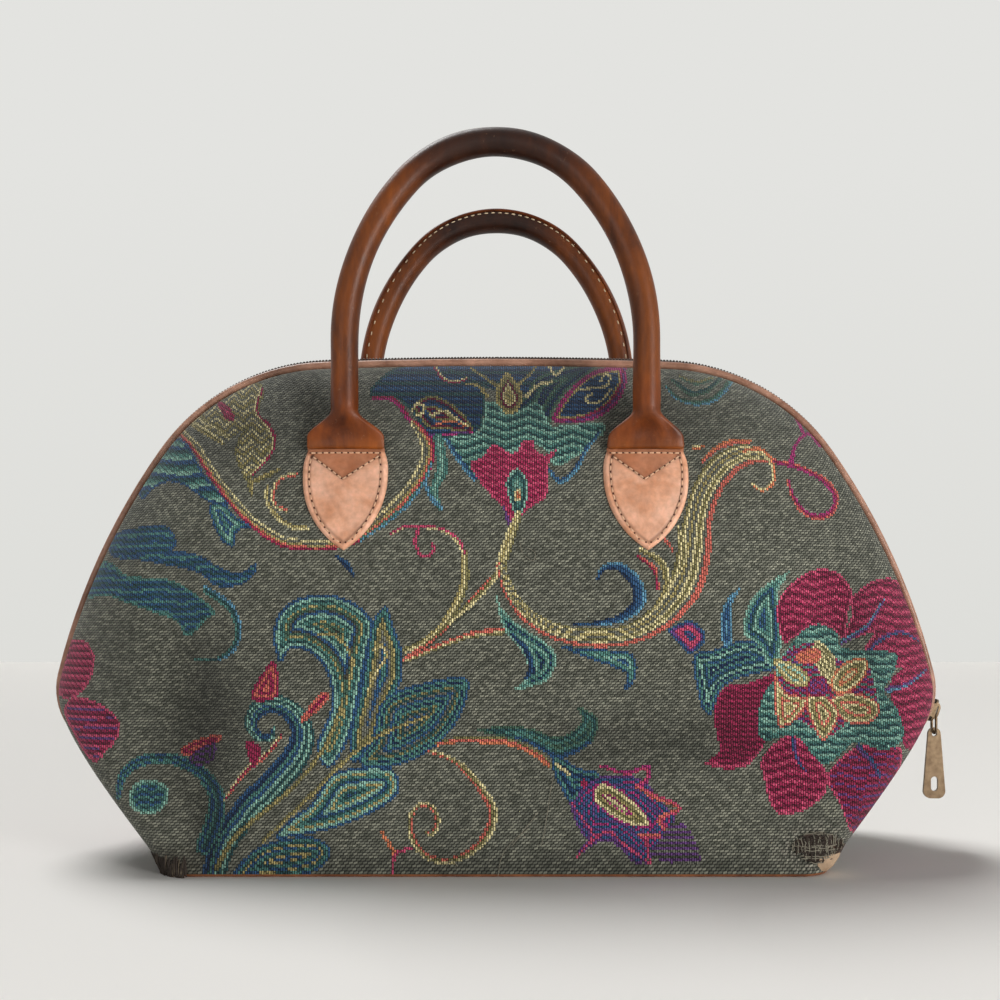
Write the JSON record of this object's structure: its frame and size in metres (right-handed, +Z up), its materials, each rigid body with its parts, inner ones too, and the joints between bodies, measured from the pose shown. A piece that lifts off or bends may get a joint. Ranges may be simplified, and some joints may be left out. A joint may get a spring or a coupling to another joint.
{
  "type": "carpet bag",
  "caption": "Soft tapestry handbag with a domed zip top, leather piping, rolled leather handles on stitched leaf tabs and a flat rectangular base",
  "frame": {"origin": "centre of the base's underside, on the surface the bag stands on", "axes": "+X to the right along the zip's end with the slider, -Y the front face, +Z up"},
  "size_m": [0.4258, 0.1244, 0.3241],
  "materials": {
    "tapestry": "coarse woven floral tapestry on an olive grey ground",
    "lining_cloth": "plain weave lining",
    "base_leather": "worn tan leather",
    "base_board": "stiff fibreboard",
    "piping_leather": "rolled piping in tan leather",
    "zip_tape": "woven brown tape",
    "zip_coil": "brown spiral coil",
    "zip_end": "small sewn leather end",
    "zip_metal": "dark antique bronze",
    "handle_leather": "smooth brown leather, polished by use and darker at the crown",
    "handle_core": "soft cord core",
    "tab_leather": "smooth pinkish tan leather, stitched near its edge"
  },
  "bodies": {
    "bag": {"front_panel": "tapestry", "back_panel": "tapestry", "lining_front": "lining_cloth", "lining_back": "lining_cloth", "base_panel": "base_leather", "base_piping": "base_leather", "base_board": "base_board", "front_piping": "piping_leather", "back_piping": "piping_leather", "zip_tape_front": "zip_tape", "zip_tape_back": "zip_tape", "zip_coil_front": "zip_coil", "zip_coil_back": "zip_coil", "zip_end_right": "zip_end", "zip_end_left": "zip_end", "tab_front_left": "tab_leather", "tab_front_right": "tab_leather", "tab_back_left": "tab_leather", "tab_back_right": "tab_leather"},
    "slider": {"zip_slider": "zip_metal"},
    "pull": {"zip_ring": "zip_metal", "zip_pull": "zip_metal"},
    "handle_front": {"front_handle": "handle_leather", "front_handle_core": "handle_core"},
    "handle_back": {"back_handle": "handle_leather", "back_handle_core": "handle_core"}
  },
  "joints": [
    {"name": "slider_travel", "type": "hinge", "parent": "bag", "child": "slider", "pos_m": [0.17592, 0, 0.07674], "axis": [0, -1, 0], "range_deg": [-20, 31.5]},
    {"name": "pull_swing", "type": "hinge", "parent": "slider", "child": "pull", "pos_m": [0.21044, 0, 0.06406], "axis": [0, -1, 0], "range_deg": [-15, 140]},
    {"name": "front_handle_swing", "type": "hinge", "parent": "bag", "child": "handle_front", "pos_m": [0, -0.0435, 0.186], "axis": [1, 0, 0], "range_deg": [-15, 120]},
    {"name": "back_handle_swing", "type": "hinge", "parent": "bag", "child": "handle_back", "pos_m": [0, 0.0435, 0.186], "axis": [-1, 0, 0], "range_deg": [-15, 120]}
  ]
}
